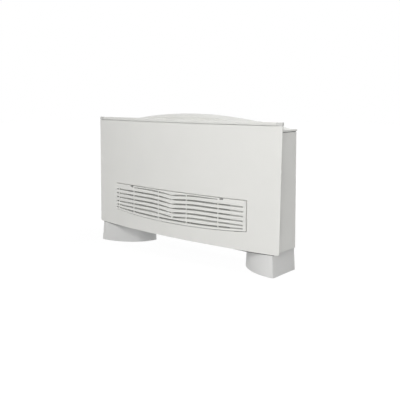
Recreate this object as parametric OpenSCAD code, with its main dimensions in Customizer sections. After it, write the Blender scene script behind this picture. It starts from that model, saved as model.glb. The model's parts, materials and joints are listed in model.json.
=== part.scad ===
// Floor-standing fan coil unit: a bowed steel casing on two hollow feet, an arched outlet
// flap on top and a louvred intake grille that tilts out of the front panel.
// Millimetres, Z up. The front faces -Y and the floor is Z = 0.

/* [Front panel] */
// Width of the front panel along its top edge
panel_w = 1200; // [1000:10:1400]
// How much narrower the panel is along its bottom edge
panel_taper = 14; // [0:1:30]
// Height of the front panel
panel_h = 570; // [520:5:640]
// Height of the panel's bottom edge above the floor
panel_z = 102; // [98:1:104]
// How far the panel bulges forward at the middle of its width
bow = 49; // [30:1:60]
// How far the panel's bottom edge stands forward of its top edge
lean = 6.3; // [0:0.1:10]
// Y of the panel's front face at its two top corners
edge_y = -52.5; // [-60:0.5:-45]
// Depth of the panel's folded top and bottom edges
fold = 16; // [14:1:22]
// Depth of the panel's folded ends
end_fold = 3.5; // [2.5:0.5:5]
// Radius of the panel's lower corners
panel_corner = 10; // [5:1:30]
// Thickness of the casing sheets
sheet = 1.5; // [1:0.1:2]
// Height of the trim strip along the panel's top
trim_h = 13.5; // [10:0.5:20]
// Depth of the trim strip
trim_d = 12; // [9:0.5:16]
// Length of the trim strip's end caps
trim_cap = 30; // [20:1:40]
// Shadow gap between the trim strip and the panel
trim_gap = 2; // [1:0.1:3]

/* [Casing and feet] */
// How far the panel stands out past each side of the casing
overhang = 25; // [15:1:35]
// Y of the casing's back
back_y = 112.5; // [105:0.5:125]
// Height of the feet
foot_h = 105.5; // [105:0.5:115]
// Length of a foot along X at the floor
foot_len = 246; // [200:2:300]
// Depth of a foot at the floor
foot_deep = 186; // [170:1:195]
// How much the foot draws in from the floor to its top
foot_draw = 6; // [0:0.5:10]
// Wall of the feet
foot_wall = 4; // [3:0.5:6]
// Shadow gap between the feet and the front panel above them
foot_gap = 4; // [1:0.5:6]
// Corner radius of the side panels
side_corner = 10; // [4:1:15]
// Width of the side panels' folded edges
side_fold = 30; // [20:1:40]

/* [Top and flap] */
// Height of the arched ridge above the panel's top edge
ridge_rise = 42; // [30:1:50]
// Radius of the arch across the width
arch_r = 2600; // [2400:50:3200]
// Y of the ridge
ridge_y = 58; // [50:1:62]
// Wall of the plastic top parts
wall = 3; // [2:0.5:4]
// Half of the flap's width
flap_hw = 387.5; // [340:2.5:400]
// Y of the arch's front face
flap_y0 = -8; // [-15:1:0]
// Y of the flap's rear face
flap_y1 = 82; // [78:1:86]
// Gap around the flap
flap_gap = 2.5; // [1.5:0.5:4]
// Gap between the closed flap and the fixed band in front of it
flap_seat = 0.8; // [0.5:0.1:1.5]
// Radius of the flap's pivot pins
flap_pin_r = 3; // [2:0.5:4]

/* [Intake grille] */
// Half of the grille's width
grille_hw = 432; // [400:2:440]
// Height of the grille's top edge above the panel's bottom edge
grille_top = 230; // [210:1:240]
// Height of the grille's bottom edge at its two ends
grille_low = 90; // [86:1:96]
// How much lower the bottom edge is at the middle
grille_sag = 17.5; // [10:0.5:22]
// How far the grille stands proud of the panel
proud = 6; // [4:0.5:8]
// Distance from one slot to the next
slot_pitch = 21.75; // [20:0.25:22]
// Height of a slot
slot_h = 7.5; // [5:0.5:8]
// How deep the slots dip to the point at the middle
dip = 10.5; // [6:0.5:12]
// Half of the width over which the slots dip
dip_hw = 160; // [120:5:200]
// Width of the upright ribs between the slots
rib = 5; // [4:0.5:8]
// X of the inner ribs, the outer ones stand three times as far out
rib_x = 94; // [86:1:100]
// X of the finger notches in the grille's top edge
notch_x = 300; // [295:1:320]
// Radius of the grille's hinge pins
hinge_pin_r = 1.5; // [1:0.1:2]
// X of the grille's hinges
hinge_x = 110; // [100:1:130]

/* [Fan and coil] */
// Radius of the fan wheels
wheel_r = 62; // [56:1:64]
// Length of a fan wheel
wheel_len = 200; // [160:5:206]
// X of the middle of each fan wheel
wheel_x = 220; // [215:1:235]
// Number of blades around a wheel
blades = 30; // [20:1:36]
// Radius of the fan shaft
shaft_r = 6; // [5:0.5:8]
// Radial clearance of the running fits
fit = 0.05; // [0.02:0.01:0.1]
// Y of the fan shaft
fan_y = 20; // [18:1:22]
// Height of the fan shaft
fan_z = 222; // [215:1:228]
// Radius of the motor
motor_r = 46; // [40:1:50]
// Half of the motor's length
motor_hw = 55; // [40:1:60]
// Height of the deck that carries the fans
deck_z = 330; // [325:1:340]
// Distance of the end plates in from the casing's sides
plate_in = 105; // [95:1:115]
// Thickness of the coil
coil_t = 44; // [33:1:50]
// Slope of the coil from upright
coil_a = 20; // [15:1:22]
// Spacing of the fins
fin_pitch = 15; // [10:1:25]
// Radius of the bore in the water connections
port_r = 9.3; // [8:0.1:12]
// Radius of the drain spout
spout_r = 8; // [6:0.5:9]

/* [Hidden] */
$fn = 96;

// Radius of the panel's bow in plan
bow_r = (pow(panel_w / 2, 2) + bow * bow) / (2 * bow);
apex_y = edge_y - bow;
panel_top = panel_z + panel_h;
lean_a = atan(lean / panel_h);
case_x = panel_w / 2 - overhang;
plate_x = case_x - plate_in;
trim_z = panel_top + trim_gap;
trim_top = trim_z + trim_h;
// The side panels end under the top cover with a shadow gap
side_top = panel_top - 32;
cover_z = side_top + 3.5;
// The cover's two ends run out in a flat shoulder
shoulder_z = cover_z + 8;
// Height of the coil along its slope
coil_h = panel_top - deck_z - 102;
ledge_z = trim_top - 1;
ridge_z = panel_top + ridge_rise;
// The flap turns on a low axis, just in front of its rear face
axis_y = flap_y1 - 4;
axis_z = ridge_z - 47;
rear_ledge_z = axis_z - 5;
pocket_x = flap_hw + flap_gap;
flap_front = flap_y0 + wall + flap_seat;
flap_front_fall = 12;
flap_rear_fall = 6;
// Paint and plastic colours
c_paint = [0.87, 0.87, 0.85];
c_plastic = [0.86, 0.86, 0.84];
c_foot = [0.72, 0.73, 0.74];
c_zinc = [0.66, 0.68, 0.7];
c_steel = [0.6, 0.61, 0.63];
c_dark = [0.2, 0.21, 0.22];
c_copper = [0.72, 0.43, 0.27];

module box(x0, x1, y0, y1, z0, z1) {
    translate([x0, y0, z0]) cube([x1 - x0, y1 - y0, z1 - z0]);
}

module xrod(x0, x1, y, z, r) {
    translate([x0, y, z]) rotate([0, 90, 0]) cylinder(h = x1 - x0, r = r);
}

module zrod(x, y, z0, z1, r) {
    translate([x, y, z0]) cylinder(h = z1 - z0, r = r);
}

module both() {
    children();
    mirror([1, 0, 0]) children();
}

// Front frame: origin at the middle of the panel's top edge, leaning with the panel
module on_front() {
    translate([0, apex_y, panel_top]) rotate([-lean_a, 0, 0]) children();
}

// Ring sector about the bow's axis, between two depths behind the panel's front face
module bow_ring(d0, d1, z0, z1, hw) {
    a = asin(hw / (bow_r - d1)) + 0.3;
    translate([0, bow_r, 0]) rotate([0, 0, 270 - a]) rotate_extrude(angle = 2 * a, $fn = 720)
        translate([bow_r - d1, z0]) square([d1 - d0, z1 - z0]);
}

// Upright prism over an outline given in X and in height above the panel's bottom edge
module front_prism(pts, y0, y1) {
    translate([0, y1, -panel_h]) rotate([90, 0, 0]) linear_extrude(y1 - y0) polygon(pts);
}

// Solid of revolution about the arch's axis, from a section given in Y and Z
module arch(pts, hw) {
    a = asin(hw / (arch_r - 80)) + 0.3;
    translate([0, 0, ridge_z - arch_r]) rotate([90, 0, 0]) rotate([0, 0, 90 - a])
        rotate_extrude(angle = 2 * a, $fn = 720)
            polygon([for (p = pts) [p[1] - ridge_z + arch_r, -p[0]]]);
}

module round_rect(x0, y0, x1, y1, r) {
    union() {
        translate([x0 + r, y0]) square([x1 - x0 - 2 * r, y1 - y0]);
        translate([x0, y0 + r]) square([x1 - x0, y1 - y0 - 2 * r]);
        for (x = [x0 + r, x1 - r], y = [y0 + r, y1 - r]) translate([x, y]) circle(r);
    }
}

// Pan-head screw pointing down from its head's seat
module screw(x, y, z, len, r) {
    zrod(x, y, z - len, z + 0.5, r);
    zrod(x, y, z, z + r * 1.1, r * 2);
}

// Outline of the front panel, with d taken off all round
function panel_outline(d) = let (r = panel_corner - d, w0 = panel_w / 2 - d,
    w1 = (panel_w - panel_taper) / 2 - d)
    concat([[w0, panel_h - d], [-w0, panel_h - d]],
        [for (i = [0:8]) [-w1 + r - r * cos(i * 11.25), d + r - r * sin(i * 11.25)]],
        [for (i = [8:-1:0]) [w1 - r + r * cos(i * 11.25), d + r - r * sin(i * 11.25)]]);

// Bottom edge of the grille and its whole outline, grown by d
function grille_edge(x) = grille_low - grille_sag * (1 - pow(x / grille_hw, 2));
function grille_outline(side, top, low) = concat(
    [[grille_hw + side, grille_top + top], [-grille_hw - side, grille_top + top]],
    [for (i = [-12:12]) let (x = i / 12 * grille_hw) [x * (1 + side / grille_hw), grille_edge(x) - low]]);
grille_side_gap = 2;
grille_top_gap = 2.5;
grille_low_gap = 3;

// Middle height of slot k at X, counted from the top
function slot_dip(x) = dip * pow(max(0, 1 - abs(x) / dip_hw), 1.6);
function slot_mid(k, x) = k < 5 ? grille_top - 8 - slot_pitch * k - slot_dip(x)
    : k == 5 ? grille_top - 8 - slot_pitch * 5 + 3 * pow(x / grille_hw, 2) - slot_dip(x)
    : grille_edge(x) + 16 - 4 * pow(x / grille_hw, 2);
// Share of a slot's height that is left at X: the slots narrow to the point at the middle, to the far
// ends, and the top row to the finger notches
function to_point(k, x) = k == 6 ? 1 : min(1, (k == 5 ? 0.5 : 0.2) + abs(x) / (x < 0 ? 90 : 32));
function to_end(x) = x < -grille_hw + 22 ? 1
    : 1 - 0.3 * max(0, abs(x) - 3 * rib_x) / (grille_hw - 3 * rib_x);
function to_notch(k, x) = k > 0 ? 1 : 1 - 0.6 * max(0, abs(x) - rib_x) / (2 * rib_x);
function slot_half(k, x) = slot_h / 2 * to_point(k, x) * to_end(x) * to_notch(k, x);
// Openings between the ribs in row k, with a short one at the left end
function bays(k) = concat(
    k == 0 ? [] : [[-grille_hw + 4, -grille_hw + 19], [-grille_hw + 27, -3 * rib_x - rib / 2],
        [3 * rib_x + rib / 2, grille_hw - 16]],
    k == 5 ? [[-rib_x + rib / 2, -4], [4, rib_x - rib / 2]] : [[-rib_x + rib / 2, rib_x - rib / 2]],
    [[-3 * rib_x + rib / 2, -rib_x - rib / 2], [rib_x + rib / 2, 3 * rib_x - rib / 2]]);

module slot(k, b) {
    n = 8;
    xs = [for (i = [0:n]) b[0] + (b[1] - b[0]) * i / n];
    front_prism(concat([for (x = xs) [x, slot_mid(k, x) - slot_half(k, x)]],
        [for (x = turned(xs)) [x, slot_mid(k, x) + slot_half(k, x)]]), -40, 80);
}

// The grille turns on an axis inside its bottom rail
hinge_yl = 1;
hinge_zl = grille_low - grille_sag + 6;

module on_hinge() {
    on_front() translate([0, hinge_yl, hinge_zl - panel_h]) children();
}

// Everything along the panel's outline, one sheet thick
module panel_rim() {
    difference() {
        front_prism(panel_outline(0), -20, 120);
        front_prism(panel_outline(sheet), -30, 130);
    }
}

module front_panel() {
    color(c_paint) on_front() difference() {
        union() {
            intersection() {
                bow_ring(0, sheet, -panel_h, 0, panel_w / 2);
                front_prism(panel_outline(0), -20, 120);
            }
            intersection() {
                bow_ring(0, end_fold, -panel_h, 0, panel_w / 2);
                panel_rim();
            }
            intersection() {
                bow_ring(0, fold, -panel_h, 0, panel_w / 2);
                panel_rim();
                box(-case_x, case_x, -50, 150, -panel_h - 1, 1);
            }
        }
        front_prism(grille_outline(grille_side_gap, grille_top_gap, grille_low_gap), -30, 80);
        bow_ring(trim_d - 0.4, fold + 2, -3, 1, case_x);
    }
}

// Length of trim strip from x0 to x1, with its front and top d further out
module trim_length(x0, x1, d) {
    r = trim_h * 0.45;
    color(c_plastic) translate([0, apex_y, 0]) intersection() {
        translate([0, bow_r, 0]) rotate([0, 0, 258]) rotate_extrude(angle = 24, $fn = 720)
            translate([bow_r - trim_d, trim_z]) union() {
                square([trim_d - r + d, trim_h + d]);
                square([trim_d + d, trim_h - r + d]);
                translate([trim_d - r + d, trim_h - r + d]) circle(r);
            }
        box(x0, x1, -20, 120, trim_z - 5, trim_top + 5);
    }
}

trim_seam = 0.8;

module top_trim() {
    hw = panel_w / 2 - trim_cap - trim_seam;
    trim_length(-hw, hw, 0);
}

module right_trim_cap() {
    trim_length(panel_w / 2 - trim_cap, panel_w / 2, trim_seam);
}

module left_trim_cap() {
    mirror([1, 0, 0]) right_trim_cap();
}

// Height of the flap's outer face at the middle of the width
function roof(y) = y < ridge_y
    ? ridge_z - flap_front_fall * pow((ridge_y - y) / (ridge_y - flap_y0), 2)
    : ridge_z - flap_rear_fall * pow((y - ridge_y) / (flap_y1 - ridge_y), 2);
// The fixed ends of the arch run on to the back and turn down there
function end_roof(y) = y < ridge_y ? roof(y) : ridge_z - 4 * pow((y - ridge_y) / (back_y - ridge_y), 2);
function end_section(d) = concat([[flap_y0 + d, ridge_z - 120], [flap_y0 + d, end_roof(flap_y0) - d]],
    [for (i = [1:7]) let (y = flap_y0 + (back_y - 8 - flap_y0) * i / 7) [y, end_roof(y) - d]],
    [[back_y - d, end_roof(back_y) - 6 - d], [back_y - d, ridge_z - 120]]);
function roof_line(y0, y1, d) = [for (i = [0:8]) let (y = y0 + (y1 - y0) * i / 8) [y, roof(y) - d]];
function turned(p) = [for (i = [len(p) - 1:-1:0]) p[i]];

// Solid under the front ledge, with d taken off
module ledge(d) {
    intersection() {
        box(-case_x + d, case_x - d, apex_y - 10, flap_y0 + wall - d, cover_z - d, ledge_z - d);
        translate([0, apex_y + bow_r, 0]) cylinder(r = bow_r - trim_d - 0.4 - d, h = 2000, $fn = 720);
    }
}

module arch_end(d) {
    intersection() {
        arch(end_section(d), case_x + 5);
        box(pocket_x + d, case_x - d, -200, 200, cover_z - d, ridge_z + 10);
    }
    box(case_x - 66 + d, case_x - 0.5 - d, flap_y0 + 0.5 + d, back_y - 0.5 - d, cover_z - d,
        shoulder_z - d);
}

// Fixed band that stands on the ledge in front of the flap
module front_band() {
    low = ledge_z - wall / 2;
    intersection() {
        arch([[flap_y0, low - 60], [flap_y0, roof(flap_y0)], [flap_y0 + wall, roof(flap_y0 + wall)],
            [flap_y0 + wall, low - 60]], pocket_x);
        box(-pocket_x, pocket_x, -200, 200, low, ridge_z);
    }
}

module top_cover() {
    color(c_plastic) difference() {
        union() {
            difference() {
                union() {
                    ledge(0);
                    both() arch_end(0);
                    box(-pocket_x - wall / 2, pocket_x + wall / 2, flap_y1 + flap_gap, back_y - 0.5,
                        cover_z, rear_ledge_z);
                }
                ledge(wall);
                both() arch_end(wall);
                box(-pocket_x, pocket_x, flap_y1 + flap_gap + wall, back_y - 0.5 - wall, cover_z - 1,
                    rear_ledge_z - wall);
            }
            both() xrod(pocket_x, pocket_x + 10, axis_y, axis_z, flap_pin_r * 2);
            front_band();
        }
        both() xrod(pocket_x - 1, pocket_x + 11, axis_y, axis_z, flap_pin_r + fit);
    }
}

module outlet_flap() {
    color(c_plastic) difference() {
        union() {
            intersection() {
                arch(concat(roof_line(flap_front, flap_y1, 0),
                    turned(roof_line(flap_front, flap_y1, wall))), flap_hw);
                box(-flap_hw, flap_hw, -200, 200, 0, ridge_z + 10);
            }
            intersection() {
                arch([[flap_y1 - wall, ridge_z - 120], [flap_y1 - wall, roof(flap_y1 - wall) - 0.5],
                    [flap_y1, roof(flap_y1)], [flap_y1, ridge_z - 120]], flap_hw);
                box(-flap_hw, flap_hw, -200, 200, axis_z + 4, ridge_z + 10);
            }
            both() intersection() {
                union() {
                    box(flap_hw - 8, flap_hw, axis_y - 5, axis_y + 4, axis_z, ridge_z);
                    xrod(flap_hw - 8, flap_hw, axis_y, axis_z, 5);
                }
                arch(concat([[axis_y - 20, ridge_z - 120]], roof_line(axis_y - 20, flap_y1, 1),
                    [[flap_y1, ridge_z - 120], [flap_y1 + 4, ridge_z - 120]]), flap_hw);
            }
            for (i = [-2:2]) let (x = i * flap_hw / 3) intersection() {
                box(x - 1.5, x + 1.5, flap_y0 + 12, flap_y1 - 1, ridge_z - 45, ridge_z);
                arch(concat(roof_line(flap_y0 + 12, flap_y1 - 1, 1),
                    turned(roof_line(flap_y0 + 12, flap_y1 - 1, wall + 6))), flap_hw);
            }
        }
        both() xrod(flap_hw - 9, flap_hw + 1, axis_y, axis_z, flap_pin_r);
    }
}

module flap_pins() {
    color(c_steel) both() xrod(flap_hw - 8, pocket_x + 9, axis_y, axis_z, flap_pin_r);
}

module outlet_guard() {
    y0 = flap_y0 + wall + 0.4;
    y1 = flap_y1 + flap_gap - 0.4;
    z0 = cover_z + 1;
    hw = pocket_x - 0.4;
    color(c_dark) {
        difference() {
            box(-hw, hw, y0, y1, z0, z0 + 7);
            box(-hw + 4, hw - 4, y0 + 4, y1 - 4, z0 - 1, z0 + 8);
        }
        for (i = [1:5]) let (y = y0 + (y1 - y0) * i / 6)
            box(-hw + 2, hw - 2, y - 1.2, y + 1.2, z0, z0 + 7);
        for (i = [-4:4]) box(i * hw / 5 - 1.5, i * hw / 5 + 1.5, y0 + 2, y1 - 2, z0, z0 + 5);
    }
}

// Side panel with folded edges along its front and its back
side_y0 = edge_y + 3;

module side_panel() {
    color(c_paint) translate([0, 0, foot_h]) linear_extrude(side_top - foot_h) intersection() {
        difference() {
            round_rect(case_x - 120, side_y0, case_x, back_y, side_corner);
            round_rect(case_x - 120, side_y0 + sheet, case_x - sheet, back_y - sheet, side_corner - sheet);
        }
        translate([case_x - side_fold, side_y0 - 1]) square([side_fold + 1, back_y - side_y0 + 2]);
    }
}

module right_side_panel() {
    side_panel();
}

module left_side_panel() {
    mirror([1, 0, 0]) side_panel();
}

// Clips that hold the panel's folded ends and sheet off the side panels' front folds
module panel_clips() {
    x0 = case_x - side_fold;
    color(c_zinc) both() for (z = [panel_z + 70, panel_top - 90]) difference() {
        box(x0, x0 + 14, apex_y, side_y0 - 0.1, z, z + 30);
        translate([0, -0.3, 0]) on_front() translate([0, bow_r, -panel_h - 100])
            difference() {
                cylinder(r = bow_r + 100, h = panel_h + 200, $fn = 720);
                translate([0, 0, -1]) cylinder(r = bow_r - sheet - 0.4, h = panel_h + 202, $fn = 720);
            }
    }
}

module bottom_panel() {
    hw = case_x - sheet - 0.1;
    color(c_zinc) difference() {
        translate([0, 0, foot_h]) linear_extrude(sheet)
            round_rect(-hw, side_y0 + sheet + 0.1, hw, back_y - sheet - 0.1, side_corner - sheet);
        both() box(plate_x + 12, hw - 8, -32, back_y - 14, foot_h - 1, foot_h + 5);
        for (p = foot_screw_at) both() zrod(p[0], p[1], foot_h - 1, foot_h + 5, screw_r);
    }
}

foot_hw = case_x - 4;
screw_r = 2.5;
foot_screw_at = [[foot_hw - 211, 60], [foot_hw - 121, -10]];
wall_hole_x = plate_x - 50;
wall_hole_r = 5;
wall_hole_z = [200, 560];

module back_frame() {
    hw = case_x - side_fold - 0.2;
    z0 = foot_h + sheet;
    z1 = cover_z - 0.5;
    color(c_zinc) difference() {
        union() {
            box(-hw, hw, back_y - sheet, back_y, z0, z1);
            box(-hw, hw, back_y - 14, back_y, z0, z0 + sheet);
        }
        for (x = [-1, 1], z = wall_hole_z) translate([x * wall_hole_x, back_y + 1, z]) rotate([90, 0, 0])
            cylinder(r = wall_hole_r, h = 10);
    }
}

// Foot: a quarter ellipse in plan with its square corner outside and to the rear, drawn in to the top
function foot_pts(d, hw, len, deep) = concat(
    [[hw - d, back_y - 0.5 + d], [hw - d, back_y - 0.5 - deep + d + 10],
    [hw - d - 3, back_y - 0.5 - deep + d + 3]],
    [for (i = [1:16]) let (a = i * 90 / 16) [hw - d - (len - 2 * d) * sin(a),
        back_y - 0.5 + (i == 16 ? d : 0) - (deep - d) * cos(a)]]);

module foot_block(d, z0, z1) {
    a = foot_pts(d, foot_hw, foot_len, foot_deep);
    b = foot_pts(d, foot_hw - foot_draw, foot_len - 2 * foot_draw, foot_deep - foot_draw);
    n = len(a);
    polyhedron(concat([for (p = a) [p[0], p[1], z0]], [for (p = b) [p[0], p[1], z1]]),
        concat([[for (i = [0:n - 1]) n - 1 - i], [for (i = [0:n - 1]) n + i]],
            [for (i = [0:n - 1]) [i, (i + 1) % n, n + (i + 1) % n, n + i]]));
}

module foot() {
    color(c_foot) difference() {
        union() {
            difference() {
                foot_block(0, 0, foot_h);
                foot_block(foot_wall, -1, foot_h + 1);
            }
            for (p = foot_screw_at) zrod(p[0], p[1], 40, foot_h, 8);
            for (p = foot_screw_at) intersection() {
                box(p[0] - 3, p[0] + 3, p[1] - 60, p[1], 50, foot_h - 10);
                foot_block(1, 0, foot_h);
            }
        }
        for (p = foot_screw_at) zrod(p[0], p[1], 80, foot_h + 1, screw_r);
        box(0, panel_w, apex_y - 50, side_y0 + 4, panel_z - foot_gap, foot_h + 5);
    }
}

module right_foot() {
    foot();
}

module left_foot() {
    mirror([1, 0, 0]) foot();
}

module foot_screws() {
    color(c_steel) both() for (p = foot_screw_at) screw(p[0], p[1], foot_h + sheet, 20, screw_r);
}

// Middle of the coil in Y and Z
coil_y = 33;
coil_z = (panel_top + deck_z) / 2 - 11;

module on_coil() {
    translate([0, coil_y, coil_z]) rotate([-coil_a, 0, 0]) children();
}

plate_y0 = side_y0 + 5;
plate_z0 = foot_h + sheet;
plate_z1 = cover_z - 1;
spout_y = -18;
spout_z = deck_z + sheet + 12;

module end_plate() {
    color(c_zinc) difference() {
        union() {
            box(plate_x, plate_x + sheet, plate_y0, back_y - sheet - 0.1, plate_z0 + sheet, plate_z1);
            box(plate_x, plate_x + 10, plate_y0, back_y - 16, plate_z0, plate_z0 + sheet);
        }
        on_coil() box(plate_x - 5, plate_x + 12, -coil_t / 2 + 4, coil_t / 2 - 4,
            -coil_h / 2 + 6, coil_h / 2 - 6);
    }
}

module right_end_plate() {
    end_plate();
}

module left_end_plate() {
    mirror([1, 0, 0]) difference() {
        end_plate();
        xrod(plate_x - 5, plate_x + 20, spout_y, spout_z, spout_r + 0.4);
    }
}

module front_baffle() {
    color(c_zinc) {
        box(-plate_x - sheet, plate_x + sheet, plate_y0 - sheet - 0.1, plate_y0 - 0.1, deck_z, plate_z1);
        box(-plate_x - sheet, plate_x + sheet, plate_y0 - 12, plate_y0 - 0.1, deck_z, deck_z + sheet);
    }
}

// Fan housing: a spiral that grows from the tongue round to the rear wall
tongue = 70;
spiral_r0 = wheel_r + 6;
spiral_r1 = wheel_r + 22;
function spiral(a) = spiral_r0 + (spiral_r1 - spiral_r0) * (a - tongue) / (360 - tongue);
function spiral_pts(d) = concat(
    [for (i = [0:24]) let (a = tongue + (360 - tongue) * i / 24, r = spiral(a) + d)
        [fan_y + r * cos(a), fan_z + r * sin(a)]],
    [[fan_y + spiral_r1 + d, deck_z + (d > 0 ? -0.1 : 5)],
     [fan_y + spiral_r0 * cos(tongue) - d, deck_z + (d > 0 ? -0.1 : 5)]]);
house_hw = wheel_len / 2 + 8;
mouth_y0 = fan_y + spiral_r0 * cos(tongue);
mouth_y1 = fan_y + spiral_r1;
deck_screw_y = mouth_y0 - 7;

// Prism along X over an outline given in Y and Z
module x_prism(pts, x0, x1) {
    translate([x0, 0, 0]) rotate([90, 0, 90]) linear_extrude(x1 - x0) polygon(pts);
}

module fan_housing() {
    color(c_zinc) difference() {
        union() {
            x_prism(spiral_pts(2), wheel_x - house_hw, wheel_x + house_hw);
            box(wheel_x - house_hw, wheel_x + house_hw, mouth_y0 - 14, mouth_y0, deck_z - 3.1, deck_z - 0.1);
        }
        x_prism(spiral_pts(0), wheel_x - house_hw + 2, wheel_x + house_hw - 2);
        xrod(wheel_x - house_hw - 1, wheel_x + house_hw + 1, fan_y, fan_z, wheel_r - 8);
        for (s = [-1, 1]) zrod(wheel_x + s * 80, deck_screw_y, deck_z - 10, deck_z + 5, 2);
    }
}

module right_fan_housing() {
    fan_housing();
}

module left_fan_housing() {
    mirror([1, 0, 0]) fan_housing();
}

module fan_deck() {
    color(c_zinc) difference() {
        box(-plate_x + 0.1, plate_x - 0.1, plate_y0, back_y - sheet - 0.1, deck_z, deck_z + sheet);
        both() box(wheel_x - house_hw + 2, wheel_x + house_hw - 2, mouth_y0, mouth_y1,
            deck_z - 1, deck_z + 5);
        both() for (s = [-1, 1]) zrod(wheel_x + s * 80, deck_screw_y, deck_z - 1, deck_z + 5, 2);
    }
}

module deck_screws() {
    color(c_steel) both() for (s = [-1, 1]) screw(wheel_x + s * 80, deck_screw_y, deck_z + sheet, 8, 2);
}

module fan_shaft() {
    hw = wheel_x + house_hw + 24;
    color(c_steel) xrod(-hw, hw, fan_y, fan_z, shaft_r);
}

// Forward-curved wheel: blades between two end rings, carried on a disc in the middle
module fan_wheel() {
    x0 = -wheel_len / 2;
    x1 = wheel_len / 2;
    color(c_dark) translate([wheel_x, fan_y, fan_z]) rotate([0, 90, 0]) difference() {
        union() {
            translate([0, 0, x0 + 1.5]) for (i = [0:blades - 1]) rotate([0, 0, i * 360 / blades])
                linear_extrude(x1 - x0 - 3) intersection() {
                    difference() {
                        translate([wheel_r - 4, 9]) circle(10);
                        translate([wheel_r - 4, 9]) circle(9);
                    }
                    difference() {
                        circle(wheel_r - 0.6);
                        circle(wheel_r - 11.5);
                    }
                    translate([0, -30]) square([100, 38]);
                }
            for (z = [x0, x1 - 4]) translate([0, 0, z]) difference() {
                cylinder(r = wheel_r, h = 4);
                translate([0, 0, -1]) cylinder(r = wheel_r - 12, h = 6);
            }
            translate([0, 0, -2]) cylinder(r = wheel_r, h = 4);
            translate([0, 0, -16]) cylinder(r = shaft_r + 8, h = 32);
        }
        translate([0, 0, x0 - 1]) cylinder(r = shaft_r, h = x1 - x0 + 2);
    }
}

module right_fan_wheel() {
    fan_wheel();
}

module left_fan_wheel() {
    mirror([1, 0, 0]) fan_wheel();
}

module motor() {
    color(c_steel) difference() {
        union() {
            xrod(-motor_hw, motor_hw, fan_y, fan_z, motor_r);
            xrod(-motor_hw - 12, motor_hw + 12, fan_y, fan_z, motor_r * 0.45);
        }
        xrod(-motor_hw - 20, motor_hw + 20, fan_y, fan_z, shaft_r + fit);
        for (x = [-30, -18, -6, 6, 18, 30]) difference() {
            xrod(x - 2, x + 2, fan_y, fan_z, motor_r + 5);
            xrod(x - 3, x + 3, fan_y, fan_z, motor_r - 3);
        }
    }
}

module motor_cradle() {
    color(c_zinc) both() difference() {
        union() {
            xrod(motor_hw - 16, motor_hw - 4, fan_y, fan_z, motor_r + 4);
            box(motor_hw - 16, motor_hw - 4, fan_y - 18, fan_y + 18, fan_z + motor_r, deck_z - 0.1);
            box(motor_hw - 30, motor_hw - 4, fan_y - 24, fan_y + 24, deck_z - 3.1, deck_z - 0.1);
        }
        xrod(motor_hw - 40, motor_hw, fan_y, fan_z, motor_r);
    }
}

module bearing_hangers() {
    x0 = wheel_x + house_hw + 8;
    color(c_zinc) both() difference() {
        union() {
            box(x0, x0 + 4, fan_y - 15, fan_y + 15, fan_z, deck_z - 0.1);
            box(x0, x0 + 22, fan_y - 15, fan_y + 15, deck_z - 3.1, deck_z - 0.1);
            xrod(x0 - 5, x0 + 11, fan_y, fan_z, 15);
        }
        xrod(x0 - 10, x0 + 20, fan_y, fan_z, shaft_r + fit);
    }
}

// Fin block with a comb of fins on both faces
fin_hw = plate_x - 16;

module coil_fins() {
    n = floor(2 * fin_hw / fin_pitch);
    p = 2 * fin_hw / n;
    h = coil_t / 2;
    function comb(s) = [for (i = [0:n - 1], q = [[0, 0], [0.5, 0], [0.5, -6], [1, -6]])
        [-fin_hw + (i + q[0] * 0.99 + 0.005) * p, s * (h + q[1])]];
    color([0.78, 0.79, 0.8]) on_coil() translate([0, 0, -coil_h / 2]) linear_extrude(coil_h)
        polygon(concat(comb(-1), turned(comb(1))));
}

module coil_end_sheets() {
    color(c_zinc) both() difference() {
        on_coil() box(fin_hw + 0.1, plate_x - 0.1, -coil_t / 2, coil_t / 2, -coil_h / 2, coil_h / 2);
        on_coil() box(fin_hw + 2, plate_x + 1, -coil_t / 2 + 2, coil_t / 2 - 2,
            -coil_h / 2 + 2, coil_h / 2 - 2);
    }
}

// Return bends of the coil's tubes, out of the right-hand end sheet
tube_r = 5;
bend_r = 12.5;

module coil_bends() {
    color(c_copper) on_coil() for (i = [-2:2]) translate([fin_hw + 2, 0, i * coil_h / 5]) {
        for (s = [-1, 1]) xrod(0, 20, 0, s * bend_r, tube_r);
        translate([20, 0, 0]) rotate([90, 0, 0]) rotate([0, 0, -90]) rotate_extrude(angle = 180)
            translate([bend_r, 0]) circle(tube_r);
    }
}

// Upright header on the left with stubs into the coil and a threaded union facing down
port_z = 270;

module header(y, z1, stubs) {
    x = -plate_x - 36;
    difference() {
        union() {
            zrod(x, y, port_z + 24, z1, 10);
            translate([x, y, z1]) sphere(10);
            for (z = stubs) xrod(x, -fin_hw - 2, y, z, tube_r);
            translate([x, y, port_z]) cylinder(r = 16, h = 26, $fn = 6);
        }
        zrod(x, y, port_z - 1, port_z + 16, port_r);
        zrod(x, y, port_z + 10, z1, 8);
    }
}

supply_y = coil_y - 22;
return_y = coil_y + 28;

module supply_header() {
    z = coil_z - 22 / tan(coil_a);
    color(c_copper) header(supply_y, z + 40, [z - 24, z + 4, z + 32]);
}

module return_header() {
    z = coil_z + 28 / tan(coil_a);
    color(c_copper) header(return_y, z + 34, [z - 30, z - 2, z + 26]);
}

// Condensate tray under the coil's lower edge
tray_y0 = plate_y0 + 1;
tray_y1 = mouth_y0 - 14;

module drain_tray() {
    z0 = deck_z + sheet;
    hw = plate_x - 1;
    color(c_dark) difference() {
        box(-hw, hw, tray_y0, tray_y1, z0, z0 + 34);
        box(-hw + 2, hw - 2, tray_y0 + 2, tray_y1 - 2, z0 + 3, z0 + 40);
        xrod(-hw - 5, -hw + 5, spout_y, spout_z, spout_r - 2);
    }
}

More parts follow.
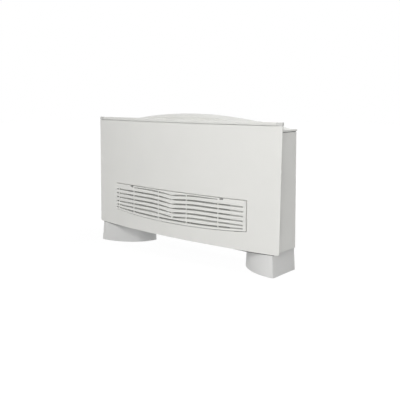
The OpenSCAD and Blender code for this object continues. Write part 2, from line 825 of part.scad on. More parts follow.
module drain_spout() {
    x0 = -plate_x + 1;
    x1 = -plate_x - 74;
    color(c_dark) difference() {
        union() {
            xrod(x1, x0 - 0.1, spout_y, spout_z, spout_r);
            translate([x1, spout_y, spout_z]) sphere(spout_r + 2);
            zrod(x1, spout_y, spout_z - 14, spout_z, spout_r + 2);
            zrod(x1, spout_y, spout_z - 50, spout_z - 10, spout_r);
        }
        xrod(x1, x0 + 1, spout_y, spout_z, spout_r - 2);
        zrod(x1, spout_y, spout_z - 60, spout_z, spout_r - 2);
    }
}

// Where the bottom rail is cut away behind its face for a hinge lug
module rail_pocket() {
    both() on_hinge() box(hinge_x - 4, hinge_x + 4, -3.5, 40, -30, 7);
}

module intake_grille() {
    color(c_plastic) difference() {
        on_front() intersection() {
            bow_ring(-proud, 4, -panel_h, 0, grille_hw);
            front_prism(grille_outline(0, 0, 0), -30, 80);
        }
        on_front() {
            for (k = [0:6]) for (b = bays(k)) slot(k, b);
            both() front_prism([[notch_x - 10, grille_top - 9], [notch_x + 10, grille_top - 9],
                [notch_x + 13, grille_top + 5], [notch_x - 13, grille_top + 5]], -30, 80);
        }
        rail_pocket();
        both() on_hinge() xrod(hinge_x - 10, hinge_x + 10, 0, 0, hinge_pin_r);
        on_hinge() difference() {
            box(-grille_hw, grille_hw, -proud - 6, 0, -8, -2);
            xrod(-grille_hw - 1, grille_hw + 1, -proud + 2.8, -2, 4);
            box(-grille_hw - 1, grille_hw + 1, -proud + 2.8, 1, -9, 0);
            box(-grille_hw - 1, grille_hw + 1, -proud - 7, 1, -2, 0);
        }
    }
}

module grille_pins() {
    color(c_steel) both() on_hinge() xrod(hinge_x - 10, hinge_x + 10, 0, 0, hinge_pin_r);
}

// Lugs on the back of the panel that carry the grille's pins
module hinge_brackets() {
    back = hinge_x * hinge_x / (2 * bow_r) + sheet + 0.4 - hinge_yl;
    color(c_zinc) both() on_hinge() difference() {
        union() {
            xrod(hinge_x - 2.5, hinge_x + 2.5, 0, 0, 3.4);
            box(hinge_x - 2.5, hinge_x + 2.5, 0, 9, -3.4, 3.4);
            box(hinge_x - 2.5, hinge_x + 2.5, 5, 9, -34, 3.4);
            box(hinge_x - 14, hinge_x + 14, back, back + 2, -34, -14);
            box(hinge_x - 2.5, hinge_x + 2.5, back, 9, -34, -14);
        }
        xrod(hinge_x - 20, hinge_x + 20, 0, 0, hinge_pin_r + fit);
    }
}

// Filter behind the grille: a bowed frame with a fine mesh panel in it
filter_hw = grille_hw - 22;
filter_z0 = 106;
filter_z1 = grille_top - 16;

module filter_ring(d0, d1, m) {
    on_front() intersection() {
        bow_ring(d0, d1, -panel_h, 0, grille_hw);
        front_prism([[-filter_hw + m, filter_z0 + m], [filter_hw - m, filter_z0 + m],
            [filter_hw - m, filter_z1 - m], [-filter_hw + m, filter_z1 - m]], -30, 90);
    }
}

module filter_frame() {
    color(c_dark) difference() {
        filter_ring(4, 12, 0);
        on_front() for (i = [0:3]) let (w = (2 * filter_hw - 8) / 4, x = -filter_hw + 8 + i * w)
            front_prism([[x, filter_z0 + 8], [x + w - 8, filter_z0 + 8], [x + w - 8, filter_z1 - 8],
                [x, filter_z1 - 8]], -30, 90);
        filter_ring(6.9, 9.1, 4);
    }
}

module filter_mesh() {
    color([0.12, 0.12, 0.13]) filter_ring(7, 9, 4.1);
}

// Electrical box on the right-hand end plate
box_x0 = plate_x + sheet;
box_x1 = box_x0 + 52;
box_y0 = -24;
box_y1 = 86;
box_z0 = 150;
box_z1 = 310;
gland_x = box_x0 + 26;
gland_y = 2;

module terminal_box() {
    color(c_dark) difference() {
        box(box_x0, box_x1, box_y0, box_y1, box_z0, box_z1);
        difference() {
            box(box_x0 + 2.5, box_x1 + 1, box_y0 + 2.5, box_y1 - 2.5, box_z0 + 2.5, box_z1 - 2.5);
            for (z = [box_z0 + 8, box_z1 - 8]) xrod(box_x0, box_x1, (box_y0 + box_y1) / 2, z, 6);
        }
        for (z = [box_z0 + 8, box_z1 - 8]) xrod(box_x1 - 20, box_x1 + 1, (box_y0 + box_y1) / 2, z, 2);
        zrod(gland_x, gland_y, box_z0 - 1, box_z0 + 5, 8);
    }
}

module terminal_cover() {
    color([0.3, 0.31, 0.32]) difference() {
        box(box_x1, box_x1 + 3, box_y0, box_y1, box_z0, box_z1);
        for (z = [box_z0 + 8, box_z1 - 8]) xrod(box_x1 - 1, box_x1 + 5, (box_y0 + box_y1) / 2, z, 2);
    }
}

module terminal_strip() {
    color([0.85, 0.85, 0.8]) difference() {
        box(box_x0 + 2.5, box_x0 + 22, 0, 62, 200, 222);
        for (i = [0:5]) xrod(box_x0 + 14, box_x0 + 30, 6 + i * 10, 211, 3);
    }
}

module cable_gland() {
    color(c_dark) difference() {
        union() {
            zrod(gland_x, gland_y, box_z0 - 18, box_z0 + 8, 7.9);
            translate([gland_x, gland_y, box_z0 - 8.1]) cylinder(r = 12, h = 8, $fn = 6);
        }
        zrod(gland_x, gland_y, box_z0 - 20, box_z0 + 10, 5);
    }
}

module box_screws() {
    color(c_steel) for (z = [box_z0 + 8, box_z1 - 8]) union() {
        xrod(box_x1 - 14, box_x1 + 3.5, (box_y0 + box_y1) / 2, z, 2);
        xrod(box_x1 + 3, box_x1 + 5.2, (box_y0 + box_y1) / 2, z, 4);
    }
}

front_panel();
top_trim();
left_trim_cap();
right_trim_cap();
top_cover();
left_side_panel();
right_side_panel();
panel_clips();
bottom_panel();
back_frame();
left_foot();
right_foot();
foot_screws();
left_end_plate();
right_end_plate();
front_baffle();
fan_deck();
deck_screws();
left_fan_housing();
right_fan_housing();
motor();
motor_cradle();
bearing_hangers();
fan_shaft();
left_fan_wheel();
right_fan_wheel();
coil_fins();
coil_end_sheets();
coil_bends();
supply_header();
return_header();
drain_tray();
drain_spout();
outlet_guard();
outlet_flap();
flap_pins();
intake_grille();
grille_pins();
hinge_brackets();
filter_frame();
filter_mesh();
terminal_box();
terminal_cover();
terminal_strip();
cable_gland();
box_screws();
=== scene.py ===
import json
import math

import bmesh
import bpy
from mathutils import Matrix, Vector
from mathutils.geometry import tessellate_polygon


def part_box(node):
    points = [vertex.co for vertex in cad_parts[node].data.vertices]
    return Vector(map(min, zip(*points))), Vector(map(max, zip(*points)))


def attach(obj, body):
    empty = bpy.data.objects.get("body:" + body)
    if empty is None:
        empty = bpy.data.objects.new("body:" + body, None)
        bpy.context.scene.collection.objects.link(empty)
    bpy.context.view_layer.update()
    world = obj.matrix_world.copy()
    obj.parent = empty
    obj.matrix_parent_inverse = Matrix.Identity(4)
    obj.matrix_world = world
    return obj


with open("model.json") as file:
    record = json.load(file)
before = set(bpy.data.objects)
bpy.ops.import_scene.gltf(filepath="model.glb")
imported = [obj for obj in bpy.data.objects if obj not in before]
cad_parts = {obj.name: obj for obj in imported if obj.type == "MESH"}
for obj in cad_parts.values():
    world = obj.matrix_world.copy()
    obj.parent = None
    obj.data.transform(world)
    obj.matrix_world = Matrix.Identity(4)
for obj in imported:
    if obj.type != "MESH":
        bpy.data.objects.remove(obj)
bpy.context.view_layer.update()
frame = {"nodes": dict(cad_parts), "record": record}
nodes = frame["nodes"]
scene = bpy.context.scene
scene.view_settings.view_transform = "Standard"

# Camera, found from the photo: a 400 x 400 picture with a focal length of about 590 pixels
CAMERA_AT = (1.9738, -2.2270, 0.7980)
CAMERA_AZIMUTH = 40.161
CAMERA_PITCH = 4.159
SENSOR = 36.0
LENS = 53.19
SHIFT = (-0.0020, -0.15)

# Linear colours of the finishes
PAINT = (0.752, 0.750, 0.722)
PLASTIC = (0.756, 0.755, 0.726)
TOP = (0.712, 0.711, 0.683)
# Grey of the trim caps: partly their own tone, partly painted shade for the shaded ends of the trim
CAP_AND_SHADE = (0.610, 0.610, 0.590)
FOOT = (0.700, 0.699, 0.688)
ZINC = (0.560, 0.575, 0.590)
STEEL = (0.520, 0.525, 0.530)
DARK = (0.030, 0.031, 0.034)
MOTOR = (0.060, 0.065, 0.072)
ALUMINIUM = (0.720, 0.730, 0.740)
COPPER = (0.640, 0.290, 0.160)
FILTER_RIM = (0.620, 0.620, 0.603)
FRAME = (0.480, 0.480, 0.466)
CLOTH = (0.380, 0.380, 0.368)
COVER = (0.300, 0.300, 0.290)
STRIP = (0.620, 0.610, 0.560)
WHITE = (1.0, 1.0, 1.0, 1.0)

# Constants that all finishes share: ends of the colour ramp, detail of the noises, strength of the grain
RAMP_LOW, RAMP_HIGH = 0.25, 0.75
SLOW_DETAIL, FINE_DETAIL = 3.0, 2.0
GRAIN_STRENGTH = 0.5


def node(tree, kind, **values):
    """New shader node. Keys with _ for a space set its inputs, the others its own properties."""
    made = tree.nodes.new(kind)
    for key, value in values.items():
        name = key.replace("_", " ")
        if name in made.inputs:
            made.inputs[name].default_value = value
        else:
            setattr(made, key, value)
    return made


def shade(colour, factor):
    """Colour with alpha, lighter or darker by a factor."""
    return tuple(min(1.0, c * factor) for c in colour) + (1.0,)


def finish(name, colour, rough, metal=0.0, mottle=0.03, mottle_scale=5.0, grain_scale=900.0,
           grain=0.00006, rough_spread=0.06, stretch=(1.0, 1.0, 1.0), cells=False):
    """Finish with a slow drift of colour, a fine grain in its surface and a gloss that varies."""
    material = bpy.data.materials.new(name)
    material.use_nodes = True
    tree = material.node_tree
    shader = tree.nodes["Principled BSDF"]
    shader.inputs["Metallic"].default_value = metal
    place = node(tree, "ShaderNodeTexCoord")
    scaled = node(tree, "ShaderNodeMapping")
    scaled.inputs["Scale"].default_value = stretch
    tree.links.new(place.outputs["Object"], scaled.inputs["Vector"])
    if cells:
        slow = node(tree, "ShaderNodeTexVoronoi", Scale=mottle_scale)
        spread_of_colour = slow.outputs["Color"]
    else:
        slow = node(tree, "ShaderNodeTexNoise", Scale=mottle_scale, Detail=SLOW_DETAIL)
        spread_of_colour = slow.outputs["Fac"]
    tree.links.new(place.outputs["Object"], slow.inputs["Vector"])
    ramp = node(tree, "ShaderNodeValToRGB")
    dark_end, light_end = ramp.color_ramp.elements
    dark_end.position = RAMP_LOW
    light_end.position = RAMP_HIGH
    dark_end.color = shade(colour, 1.0 - mottle)
    light_end.color = shade(colour, 1.0 + mottle)
    tree.links.new(spread_of_colour, ramp.inputs["Fac"])
    tree.links.new(ramp.outputs["Color"], shader.inputs["Base Color"])
    fine = node(tree, "ShaderNodeTexNoise", Scale=grain_scale, Detail=FINE_DETAIL)
    tree.links.new(scaled.outputs["Vector"], fine.inputs["Vector"])
    gloss = node(tree, "ShaderNodeMapRange", To_Min=rough - rough_spread, To_Max=rough + rough_spread)
    tree.links.new(fine.outputs["Fac"], gloss.inputs["Value"])
    tree.links.new(gloss.outputs["Result"], shader.inputs["Roughness"])
    bump = node(tree, "ShaderNodeBump", Strength=GRAIN_STRENGTH, Distance=grain)
    tree.links.new(fine.outputs["Fac"], bump.inputs["Height"])
    tree.links.new(bump.outputs["Normal"], shader.inputs["Normal"])
    return material


# Looks of the finishes: lengths in metres, scales in waves per metre
MOULDED = dict(grain_scale=1300.0, grain=0.00003, mottle=0.012)
LOOKS = {
    "casing_paint": dict(colour=PAINT, rough=0.42, grain_scale=700.0, grain=0.00005, mottle=0.012),
    "casing_plastic": dict(colour=PLASTIC, rough=0.40, **MOULDED),
    "top_plastic": dict(colour=TOP, rough=0.42, **MOULDED),
    "cap_plastic_and_shade": dict(colour=CAP_AND_SHADE, rough=0.45, **MOULDED),
    "foot_plastic": dict(colour=FOOT, rough=0.50, grain_scale=1500.0, grain=0.00008, mottle=0.02),
    "zinc_sheet": dict(colour=ZINC, rough=0.42, metal=0.9, mottle=0.06, mottle_scale=150.0, cells=True),
    "steel": dict(colour=STEEL, rough=0.32, metal=1.0, mottle=0.05, grain_scale=400.0,
                  stretch=(0.05, 1.0, 1.0)),
    # dark_plastic also colours the dark strips of painted shade under the cover and over the feet
    "dark_plastic": dict(colour=DARK, rough=0.50, mottle=0.15, grain_scale=1200.0, grain=0.00008),
    "motor_case": dict(colour=MOTOR, rough=0.48, mottle=0.12, grain_scale=600.0, grain=0.0001),
    "fin_aluminium": dict(colour=ALUMINIUM, rough=0.35, metal=1.0, mottle=0.06, mottle_scale=30.0),
    "copper": dict(colour=COPPER, rough=0.30, metal=1.0, mottle=0.18, mottle_scale=22.0),
    "filter_plastic": dict(colour=FILTER_RIM, rough=0.45, mottle=0.04),
    "frame_plastic": dict(colour=FRAME, rough=0.45, mottle=0.05),
    "filter_cloth": dict(colour=CLOTH, rough=0.85, mottle=0.15, grain_scale=1600.0, grain=0.0003),
    "cover_plastic": dict(colour=COVER, rough=0.45, mottle=0.05),
    "strip_plastic": dict(colour=STRIP, rough=0.40, mottle=0.04),
}
finishes = {name: finish(name, **look) for name, look in LOOKS.items()}

# Rounding of the visible edges, in metres
ROUNDED = {
    "front_panel": 0.0011, "top_trim": 0.0010, "top_cover": 0.0012, "outlet_flap": 0.0010,
    "left_side_panel": 0.0010, "right_side_panel": 0.0010, "left_foot": 0.0015, "right_foot": 0.0015,
    "intake_grille": 0.0016, "left_trim_cap": 0.0035, "right_trim_cap": 0.0035,
}
WELD_DIST = 0.00002
EDGE_STEPS = 3
EDGE_ANGLE = math.radians(40)

# Nodes that look a little different from the rest of their slot
SPECIAL = {
    # The trim caps' darker grey is partly their own tone and partly painted shade for the shaded ends of the
    # trim
    "left_trim_cap": "cap_plastic_and_shade", "right_trim_cap": "cap_plastic_and_shade", "filter_frame": "frame_plastic",
    "top_trim": "top_plastic", "outlet_flap": "top_plastic",
}

for part in frame["record"]["subparts"]:
    obj = nodes[part["node"]]
    for place in obj.material_slots:
        place.material = finishes[SPECIAL.get(part["node"], part["material_slot"])]
    if part["node"] in ROUNDED:
        weld = obj.modifiers.new("weld", "WELD")
        weld.merge_threshold = WELD_DIST
        edge = obj.modifiers.new("edge", "BEVEL")
        edge.width = ROUNDED[part["node"]]
        edge.segments = EDGE_STEPS
        edge.limit_method = "ANGLE"
        edge.angle_limit = EDGE_ANGLE
        edge.use_clamp_overlap = part["node"] != "intake_grille"
        obj.modifiers.new("normals", "WEIGHTED_NORMAL")

# Sizes repeated from the solids, in metres
PANEL_HALF = 0.600
BOW = 0.049
PANEL_Z = 0.102
PANEL_TOP = 0.672
PANEL_H = PANEL_TOP - PANEL_Z
LEAN_OUT = 0.0063
APEX_Y = -0.1015
BACK_Y = 0.1125
CASE_X = 0.575
SIDE_TOP = 0.640
COVER_Z = 0.6435
TRIM_Z = 0.674
GRILLE_HALF, GRILLE_LOW, GRILLE_SAG = 0.432, 0.090, 0.0175
FRAME_LOW, FRAME_TOP = 0.106, 0.214
BOW_R = (PANEL_HALF ** 2 + BOW ** 2) / (2 * BOW)
LEAN = math.atan(LEAN_OUT / PANEL_H)

SIDES = ((-1, "left"), (1, "right"))
SQUARE = ((-1, -1), (1, -1), (1, 1), (-1, 1))
SPLIT_ANGLE = math.radians(35)


def piece(name, bm, slot, body, look=None):
    """Finished piece in the collection, smooth and riding on its body. A look differs from its slot's."""
    bmesh.ops.recalc_face_normals(bm, faces=bm.faces)
    mesh = bpy.data.meshes.new(name)
    bm.to_mesh(mesh)
    bm.free()
    for face in mesh.polygons:
        face.use_smooth = True
    mesh.materials.append(finishes[look or slot])
    obj = bpy.data.objects.new(name, mesh)
    scene.collection.objects.link(obj)
    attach(obj, body)
    split = obj.modifiers.new("split", "EDGE_SPLIT")
    split.split_angle = SPLIT_ANGLE


def loft(bm, rings, closed_ends=True):
    """Skin between rings of points that all have the same number of points."""
    made = [[bm.verts.new(p) for p in ring] for ring in rings]
    n = len(made[0])
    for a, b in zip(made, made[1:]):
        for i in range(n):
            bm.faces.new((a[i], a[(i + 1) % n], b[(i + 1) % n], b[i]))
    if closed_ends:
        bm.faces.new(made[0])
        bm.faces.new(list(reversed(made[-1])))
    return made


def sweep(name, rings, slot, body):
    """Piece that is one skin over its rings."""
    bm = bmesh.new()
    loft(bm, rings)
    piece(name, bm, slot, body)


def spread(first, last, count):
    """Even steps from first to last."""
    return [first + (last - first) * i / (count - 1) for i in range(count)]


def on_front(x, depth, height):
    """Point at a depth behind the bowed front face and a height above the panel's bottom edge."""
    y = BOW_R - math.sqrt((BOW_R - depth) ** 2 - x * x)
    z = height - PANEL_H
    return Vector((x, APEX_Y + y * math.cos(LEAN) + z * math.sin(LEAN),
                   PANEL_TOP - y * math.sin(LEAN) + z * math.cos(LEAN)))


def plate_ring(x, face, rear, low, top):
    """Section of a bowed plate between two depths and two heights."""
    return [on_front(x, face, low), on_front(x, face, top), on_front(x, rear, top), on_front(x, rear, low)]


def rounded(w, h, r, steps=4):
    """Outline of a rounded bar, centred on the origin."""
    points = []
    for cx, cy, start in ((w / 2 - r, h / 2 - r, 0), (r - w / 2, h / 2 - r, 90),
                          (r - w / 2, r - h / 2, 180), (w / 2 - r, r - h / 2, 270)):
        for i in range(steps + 1):
            a = math.radians(start + 90 * i / steps)
            points.append((cx + r * math.cos(a), cy + r * math.sin(a)))
    return points


# Dark strips in the shadow gaps under the cover, behind the side panels' top edges: painted shade that
# stands for the shade in these gaps
COVER_SHADE_IN = 0.009
COVER_SHADE_FRONT, COVER_SHADE_BACK = -0.046, BACK_Y - 0.004
COVER_SHADE_W, COVER_SHADE_H, COVER_SHADE_R = 0.008, 0.012, 0.002
COVER_SHADE_WAVE, COVER_SHADE_TURN = 0.0003, 2.1
COVER_SHADE_Z = (SIDE_TOP + COVER_Z) / 2
for side, hand in SIDES:
    rings = []
    for i, y in enumerate(spread(COVER_SHADE_FRONT, COVER_SHADE_BACK, 25)):
        x = CASE_X - COVER_SHADE_IN + COVER_SHADE_WAVE * math.sin(i * COVER_SHADE_TURN)
        rings.append([(side * (x + u), y, COVER_SHADE_Z + v) for u, v in rounded(COVER_SHADE_W, COVER_SHADE_H, COVER_SHADE_R)])
    sweep(hand + "_cover_painted_shade", rings, "dark_plastic", "cabinet")

# Dark strips between the panel's bottom edge and the feet, drawn up behind the panel at their inner ends:
# painted shade that stands for the shade under the panel's edge
FOOT_SHADE_DEPTH = 0.0055
FOOT_SHADE_T, FOOT_SHADE_H, FOOT_SHADE_R = 0.004, 0.0048, 0.001
FOOT_SHADE_IN_X, FOOT_SHADE_FULL_X, FOOT_SHADE_OUT_X = 0.345, 0.43, 0.567
FOOT_SHADE_LIFT, FOOT_SHADE_DROP = 0.0032, 0.0018
for side, hand in SIDES:
    rings = []
    for x in spread(side * FOOT_SHADE_IN_X, side * FOOT_SHADE_OUT_X, 25):
        share = max(0.0, (FOOT_SHADE_FULL_X - abs(x)) / (FOOT_SHADE_FULL_X - FOOT_SHADE_IN_X))
        rise = FOOT_SHADE_LIFT * share - FOOT_SHADE_DROP
        rings.append([on_front(x, FOOT_SHADE_DEPTH + u, v + rise)
                      for u, v in rounded(FOOT_SHADE_T, FOOT_SHADE_H, FOOT_SHADE_R)])
    sweep(hand + "_foot_painted_shade", rings, "dark_plastic", "cabinet")

# Wide grips at the ends of the filter, ribbed on the face that shows through the slots
GRIP_IN_X, GRIP_OUT_X = 0.342, 0.4135
GRIP_LOW, GRIP_TOP = 0.089, 0.212
GRIP_FACE, GRIP_REAR = 0.0052, 0.0064
GRIP_RIB = 0.0008
for side, hand in SIDES:
    rings = []
    for i, x in enumerate(spread(side * GRIP_IN_X, side * GRIP_OUT_X, 45)):
        ribbed = 4 < i < 40 and i % 4 < 2
        face = GRIP_FACE - (GRIP_RIB if ribbed else 0.0)
        rings.append(plate_ring(x, face, GRIP_REAR, GRIP_LOW, GRIP_TOP))
    sweep(hand + "_filter_grip", rings, "filter_plastic", "grille")

# Flanges of the filter frame behind the top and the bottom row of slots, parted at the hinge brackets
FLANGE_FACE, FLANGE_REAR = 0.0046, 0.0062
TOP_FLANGE_X = (-0.278, 0.278)
TOP_FLANGE_LOW, TOP_FLANGE_TOP = FRAME_TOP - 0.003, FRAME_TOP + 0.0135
LOW_FLANGES_X = ((-0.340, -0.1165), (-0.1035, 0.1035), (0.1165, 0.340))
LOW_FLANGE_DROP = 0.0075
LOW_FLANGE_TOP = FRAME_LOW + 0.002
LOW_SLOT_UP, LOW_SLOT_END_DROP = 0.016, 0.004


def low_slot(x):
    """Middle height of the grille's lowest row of slots."""
    share = (x / GRILLE_HALF) ** 2
    return GRILLE_LOW - GRILLE_SAG * (1 - share) + LOW_SLOT_UP - LOW_SLOT_END_DROP * share


def flange(bm, ends, low, top):
    """Thin bowed plate between two ends, from the height that low gives at X up to top."""
    loft(bm, [plate_ring(x, FLANGE_FACE, FLANGE_REAR, low(x), top) for x in spread(*ends, 25)])


bm = bmesh.new()
flange(bm, TOP_FLANGE_X, lambda x: TOP_FLANGE_LOW, TOP_FLANGE_TOP)
piece("filter_top_flange", bm, "filter_plastic", "grille", "frame_plastic")
bm = bmesh.new()
for ends in LOW_FLANGES_X:
    flange(bm, ends, lambda x: low_slot(x) - LOW_FLANGE_DROP, LOW_FLANGE_TOP)
piece("filter_low_flange", bm, "filter_plastic", "grille", "cover_plastic")

# Latches behind the finger notches
LATCH_X, LATCH_LEN = 0.300, 0.036
LATCH_DEPTH, LATCH_HEIGHT = 0.0068, 0.2220
LATCH_T, LATCH_H, LATCH_R = 0.0044, 0.0150, 0.0015
LATCH_SHRINK = 0.0008
LATCH_STEPS = 9
for side, hand in SIDES:
    rings = []
    middle = side * LATCH_X
    for i, x in enumerate(spread(middle - LATCH_LEN / 2, middle + LATCH_LEN / 2, LATCH_STEPS)):
        shrink = LATCH_SHRINK if i in (0, LATCH_STEPS - 1) else 0.0
        rings.append([on_front(x, LATCH_DEPTH + u, LATCH_HEIGHT + v)
                      for u, v in rounded(LATCH_T - shrink, LATCH_H - shrink, LATCH_R)])
    sweep(hand + "_latch", rings, "cover_plastic", "grille")

# Stiffening bar behind the panel, over the grille's opening
STIFFENER_HALF = 0.440
STIFFENER_DEPTH, STIFFENER_HEIGHT = 0.0055, 0.2352
STIFFENER_T, STIFFENER_H, STIFFENER_R = 0.0020, 0.0100, 0.0006
rings = []
for x in spread(-STIFFENER_HALF, STIFFENER_HALF, 61):
    rings.append([on_front(x, STIFFENER_DEPTH + u, STIFFENER_HEIGHT + v)
                  for u, v in rounded(STIFFENER_T, STIFFENER_H, STIFFENER_R)])
sweep("panel_stiffener", rings, "casing_plastic", "cabinet")

# Pads that carry the trim's end caps on the panel's top edge
PAD_IN_X, PAD_OUT_X = 0.5715, 0.5970
PAD_FACE, PAD_REAR = 0.002, 0.010
PAD_HEIGHT = 0.5701
for side, hand in SIDES:
    rings = []
    for x in spread(side * PAD_IN_X, side * PAD_OUT_X, 9):
        front = on_front(x, PAD_FACE, PAD_HEIGHT)
        rear = on_front(x, PAD_REAR, PAD_HEIGHT)
        rings.append([front, rear, (rear.x, rear.y, TRIM_Z), (front.x, front.y, TRIM_Z)])
    sweep(hand + "_trim_pad", rings, "foot_plastic", "cabinet")

# Edge strips on the side panels' top edges, under the shadow gaps
EDGING_FRONT, EDGING_BACK = -0.040, BACK_Y - 0.011
EDGING_W, EDGING_H, EDGING_R = 0.0026, 0.0058, 0.0011
EDGING_SUNK = 0.0004
EDGING_X = CASE_X - EDGING_SUNK
EDGING_Z = SIDE_TOP - EDGING_H / 2 + EDGING_SUNK
for side, hand in SIDES:
    rings = []
    for y in spread(EDGING_FRONT, EDGING_BACK, 17):
        rings.append([(side * (EDGING_X + u), y, EDGING_Z + v)
                      for u, v in rounded(EDGING_W, EDGING_H, EDGING_R)])
    sweep(hand + "_side_strip", rings, "casing_plastic", "cabinet")


def on_back(x, z, out):
    """Point on the back sheet, or out from it."""
    return Vector((x, BACK_Y + out, z))


def back_circle(x, z, r, out, count):
    """Ring of points round a place on the back sheet."""
    angles = [math.tau * j / count for j in range(count)]
    return [on_back(x + r * math.cos(a), z + r * math.sin(a), out) for a in angles]


# Stiffening beads pressed out of the back sheet, drawn as rings from the foot of the bead to its crest
BEAD_HEIGHTS = (0.255, 0.380, 0.505)
BEAD_HALF = 0.30
BEAD_W = 0.015
BEAD_H = 0.0030
BEAD_SUNK = 0.0004
BEAD_RINGS, BEAD_CREST = 8, 7.4
BEAD_END_STEPS = 12
for k, z in enumerate(BEAD_HEIGHTS):
    rings = []
    for i in range(BEAD_RINGS):
        t = 1 - i / BEAD_CREST
        r = BEAD_W * t
        out = BEAD_H * (1 + math.cos(math.pi * t)) / 2 - (BEAD_SUNK if i == 0 else 0)
        ring = []
        for end, start in ((1, -90), (-1, 90)):
            for j in range(BEAD_END_STEPS + 1):
                a = math.radians(start + 180 * j / BEAD_END_STEPS)
                ring.append(on_back(end * BEAD_HALF + r * math.cos(a), z + r * math.sin(a), out))
        rings.append(ring)
    sweep("back_bead_%d" % (k + 1), rings, "zinc_sheet", "cabinet")

# Raised rims round the four wall holes, as radius and reach out of the sheet
RIM = ((0.0052, -0.0006), (0.0054, 0.0011), (0.0062, 0.0017), (0.0076, 0.0018), (0.0092, 0.0012),
       (0.0110, 0.0004), (0.0126, -0.0002))
RIM_STEPS = 40
WALL_HOLE_X = 0.420
WALL_HOLE_Z = (0.200, 0.560)
MERGE_DIST = 0.000001
bm = bmesh.new()
for x in (-WALL_HOLE_X, WALL_HOLE_X):
    for z in WALL_HOLE_Z:
        rings = [back_circle(x, z, r, out, RIM_STEPS) for r, out in RIM]
        loft(bm, rings + [rings[0]], closed_ends=False)
bmesh.ops.remove_doubles(bm, verts=bm.verts, dist=MERGE_DIST)
piece("wall_hole_rims", bm, "zinc_sheet", "cabinet")

# Screws in the back sheet: profile of the head as radius and reach, and the cross recess in it
HEAD = ((0.0044, -0.0003), (0.0044, 0.0007), (0.0042, 0.0013), (0.0037, 0.0018), (0.0030, 0.0021))
HEAD_STEPS = 32
CROSS_HALF, CROSS_REACH = 0.00045, 0.0021
CROSS_MOUTH, CROSS_FLOOR = 0.0021, 0.0008
CROSS_DRAW = 0.8
SCREW_IN = 0.012
SCREW_ROWS = (0.150, 0.305, 0.460, 0.615)
SCREW_COLUMNS = (-0.36, -0.12, 0.12, 0.36)


def cross_outline(a, b):
    """Outline of a cross whose arms are 2a wide and reach out to b."""
    return [(a, b), (-a, b), (-a, a), (-b, a), (-b, -a), (-a, -a),
            (-a, -b), (a, -b), (a, -a), (b, -a), (b, a), (a, a)]


def cross_head(bm, x, z):
    """Pan head on the back sheet with a cross recess."""
    head = loft(bm, [back_circle(x, z, r, out, HEAD_STEPS) for r, out in HEAD], closed_ends=False)
    cross = cross_outline(CROSS_HALF, CROSS_REACH)
    mouth = [bm.verts.new(on_back(x + u, z + v, CROSS_MOUTH)) for u, v in cross]
    pit = [bm.verts.new(on_back(x + u * CROSS_DRAW, z + v * CROSS_DRAW, CROSS_FLOOR)) for u, v in cross]
    rim = head[-1]
    loops = [[v.co for v in rim], [v.co for v in reversed(mouth)]]
    pool = list(rim) + list(reversed(mouth))
    for tri in tessellate_polygon(loops):
        bm.faces.new([pool[i] for i in tri])
    n = len(cross)
    for i in range(n):
        bm.faces.new((mouth[i], mouth[(i + 1) % n], pit[(i + 1) % n], pit[i]))
    bm.faces.new(pit)
    bm.faces.new(head[0])


bm = bmesh.new()
low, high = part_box("back_frame")
for z in SCREW_ROWS:
    for x in (low[0] + SCREW_IN, high[0] - SCREW_IN):
        cross_head(bm, x, z)
for x in SCREW_COLUMNS:
    for z in (low[2] + SCREW_IN, high[2] - SCREW_IN):
        cross_head(bm, x, z)
piece("back_screws", bm, "steel", "cabinet")

# Net of fine threads on the face of the filter cloth
THREAD_HALF = 0.0003
NET_DEPTH = 0.0067
NET_PITCH = 0.005
NET_LOW, NET_TOP = 0.110, 0.210
NET_HALF = 0.405
UPRIGHTS_EACH_SIDE = 81
CROSS_THREADS = 21
bm = bmesh.new()
for i in range(-UPRIGHTS_EACH_SIDE, UPRIGHTS_EACH_SIDE + 1):
    x = i * NET_PITCH
    rings = []
    for height in (NET_LOW, NET_TOP):
        rings.append([on_front(x + u * THREAD_HALF, NET_DEPTH + v * THREAD_HALF, height) for u, v in SQUARE])
    loft(bm, rings)
for k in range(CROSS_THREADS):
    height = NET_LOW + NET_PITCH * k
    rings = []
    for x in spread(-NET_HALF, NET_HALF, 41):
        rings.append([on_front(x, NET_DEPTH + v * THREAD_HALF, height + u * THREAD_HALF) for u, v in SQUARE])
    loft(bm, rings)
piece("filter_net", bm, "filter_plastic", "grille")

# White surroundings and floor as seen directly; the object gets only the fill and the floor's own tone
BACKGROUND = 1.0
FILL = 0.135
FLOOR_TONE = (0.9, 0.9, 0.9, 1.0)
FLOOR_GLOW = 0.90
FLOOR_HALF = 14.0

# The floor glows a little less near the object, so that its shadow shows there
NEAR_R, FAR_R = 0.8, 2.0
NEAR_GLOW, FAR_GLOW = 1.05, 1.115


def seen_directly(tree):
    """1 for camera, mirror and glass rays, 0 for the light that falls on the object."""
    path = node(tree, "ShaderNodeLightPath")
    first = node(tree, "ShaderNodeMath", operation="MAXIMUM")
    both = node(tree, "ShaderNodeMath", operation="MAXIMUM")
    tree.links.new(path.outputs["Is Camera Ray"], first.inputs[0])
    tree.links.new(path.outputs["Is Glossy Ray"], first.inputs[1])
    tree.links.new(first.outputs[0], both.inputs[0])
    tree.links.new(path.outputs["Is Transmission Ray"], both.inputs[1])
    return both.outputs[0]


world = bpy.data.worlds.new("studio")
scene.world = world
world.use_nodes = True
tree = world.node_tree
tree.nodes.clear()
dim = node(tree, "ShaderNodeBackground", Color=WHITE, Strength=FILL)
white = node(tree, "ShaderNodeBackground", Color=WHITE, Strength=BACKGROUND)
mixed = node(tree, "ShaderNodeMixShader")
out = node(tree, "ShaderNodeOutputWorld")
tree.links.new(seen_directly(tree), mixed.inputs[0])
tree.links.new(dim.outputs[0], mixed.inputs[1])
tree.links.new(white.outputs[0], mixed.inputs[2])
tree.links.new(mixed.outputs[0], out.inputs["Surface"])

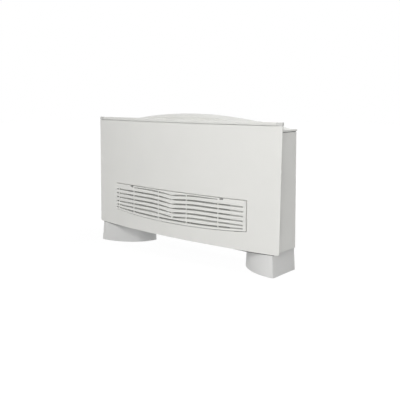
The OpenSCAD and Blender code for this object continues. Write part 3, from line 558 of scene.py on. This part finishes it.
floor_paint = bpy.data.materials.new("floor_paint")
floor_paint.use_nodes = True
tree = floor_paint.node_tree
tree.nodes.clear()
matt = node(tree, "ShaderNodeBsdfDiffuse", Color=FLOOR_TONE)
glow = node(tree, "ShaderNodeEmission", Color=WHITE)
place = node(tree, "ShaderNodeTexCoord")
reach = node(tree, "ShaderNodeVectorMath", operation="LENGTH")
strength = node(tree, "ShaderNodeMapRange", From_Min=NEAR_R, From_Max=FAR_R,
                To_Min=NEAR_GLOW, To_Max=FAR_GLOW)
tree.links.new(place.outputs["Object"], reach.inputs[0])
tree.links.new(reach.outputs["Value"], strength.inputs["Value"])
tree.links.new(strength.outputs["Result"], glow.inputs["Strength"])
share = node(tree, "ShaderNodeMath", operation="MULTIPLY")
share.inputs[1].default_value = FLOOR_GLOW
mixed = node(tree, "ShaderNodeMixShader")
out = node(tree, "ShaderNodeOutputMaterial")
tree.links.new(seen_directly(tree), share.inputs[0])
tree.links.new(share.outputs[0], mixed.inputs[0])
tree.links.new(matt.outputs[0], mixed.inputs[1])
tree.links.new(glow.outputs[0], mixed.inputs[2])
tree.links.new(mixed.outputs[0], out.inputs["Surface"])

mesh = bpy.data.meshes.new("floor")
mesh.from_pydata([(x * FLOOR_HALF, y * FLOOR_HALF, 0.0) for x, y in SQUARE], [], [(0, 1, 2, 3)])
floor = bpy.data.objects.new("floor", mesh)
floor.data.materials.append(floor_paint)
scene.collection.objects.link(floor)

# Soft square lamps: name, place, the point they face, size in metres and power in watts
LAMPS = (
    ("key", (1.3, -2.2, 1.7), (0.1, 0.0, 0.35), 1.6, 15.0),
    ("low", (1.5, -2.6, 0.8), (0.1, 0.0, 0.3), 1.4, 18.4),
    ("front", (0.6, -4.6, 3.6), (0.0, 0.0, 0.3), 1.0, 52.5),
    ("fill", (-2.8, -2.4, 1.8), (0.0, 0.0, 0.4), 2.2, 15.8),
    ("back", (0.6, 2.6, 2.2), (0.0, 0.0, 0.4), 2.2, 25.2),
    ("top", (0.0, 0.1, 2.7), (0.0, 0.0, 0.7), 1.8, 12.6),
    ("high", (1.6, 0.2, 2.2), (0.5, 0.0, 0.5), 1.0, 10.7),
)
for name, at, towards, size, power in LAMPS:
    data = bpy.data.lights.new(name, "AREA")
    data.size = size
    data.energy = power
    lamp = bpy.data.objects.new(name, data)
    lamp.location = at
    lamp.rotation_mode = "QUATERNION"
    lamp.rotation_quaternion = (Vector(towards) - Vector(at)).to_track_quat("-Z", "Y")
    scene.collection.objects.link(lamp)

data = bpy.data.cameras.new("camera")
data.sensor_width = SENSOR
data.lens = LENS
data.shift_x, data.shift_y = SHIFT
camera = bpy.data.objects.new("camera", data)
camera.location = CAMERA_AT
camera.rotation_euler = (math.radians(90.0 - CAMERA_PITCH), 0.0, math.radians(CAMERA_AZIMUTH))
scene.collection.objects.link(camera)
scene.camera = camera
